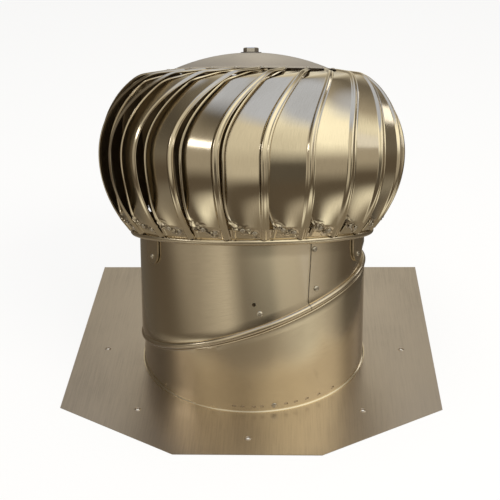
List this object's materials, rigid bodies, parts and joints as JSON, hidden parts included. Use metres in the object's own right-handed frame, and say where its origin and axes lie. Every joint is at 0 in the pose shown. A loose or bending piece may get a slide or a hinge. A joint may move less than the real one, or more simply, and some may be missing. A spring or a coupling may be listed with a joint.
{
  "type": "turbine roof vent",
  "caption": "Wind-driven roof vent: a bladed spinning head on an adjustable-pitch two-piece collar that rises from a flat square flashing, for drawing air out of a loft.",
  "frame": {"origin": "centre of the throat on the flashing's underside, where the vent sits on the roof", "axes": "+Z along the flashing's normal, away from the roof; -Y towards the downhill edge with the clipped corners; the head leans towards +Y"},
  "size_m": [0.5, 0.5091, 0.424],
  "materials": {
    "flashing": "satin mill sheet",
    "collar": "satin mill sheet",
    "blade": "bright mill sheet",
    "ring": "satin mill sheet",
    "cap": "satin spun sheet",
    "brace": "satin mill strip",
    "rivet": "plain",
    "hub": "zinc plated",
    "bearing": "ground",
    "shaft": "turned",
    "nut": "zinc plated",
    "seal": "matt"
  },
  "bodies": {
    "base": {"base_flashing": "flashing", "base_rivets": "rivet", "lower_collar": "collar"},
    "swivel_collar": {"upper_collar": "collar", "upper_rivets": "rivet", "brace_rivets": "rivet", "brace_arm_1": "brace", "brace_arm_2": "brace", "brace_arm_3": "brace", "bearing_hub": "hub", "lower_bearing_outer": "bearing", "upper_bearing_outer": "bearing"},
    "turbine": {"lower_bearing_inner": "bearing", "upper_bearing_inner": "bearing", "blade_01": "blade", "blade_02": "blade", "blade_03": "blade", "blade_04": "blade", "blade_05": "blade", "blade_06": "blade", "blade_07": "blade", "blade_08": "blade", "blade_09": "blade", "blade_10": "blade", "blade_11": "blade", "blade_12": "blade", "blade_13": "blade", "blade_14": "blade", "blade_15": "blade", "blade_16": "blade", "blade_17": "blade", "blade_18": "blade", "blade_19": "blade", "blade_20": "blade", "blade_21": "blade", "blade_22": "blade", "lower_ring": "ring", "top_cap": "cap", "shaft": "shaft", "retaining_ring": "shaft", "shoulder_washer": "shaft", "seal_washer": "seal", "shaft_nut": "nut"}
  },
  "joints": [
    {"name": "pitch_swivel", "type": "hinge", "parent": "base", "child": "swivel_collar", "pos_m": [0, 0, 0.0955], "axis": [-0.3155, 0.17, 0.9336], "range_deg": [-60, 120]},
    {"name": "turbine_spin", "type": "hinge", "parent": "swivel_collar", "child": "turbine", "pos_m": [0, 0, 0.0955], "axis": [0, 0.3526, 0.9358], "continuous": true}
  ]
}
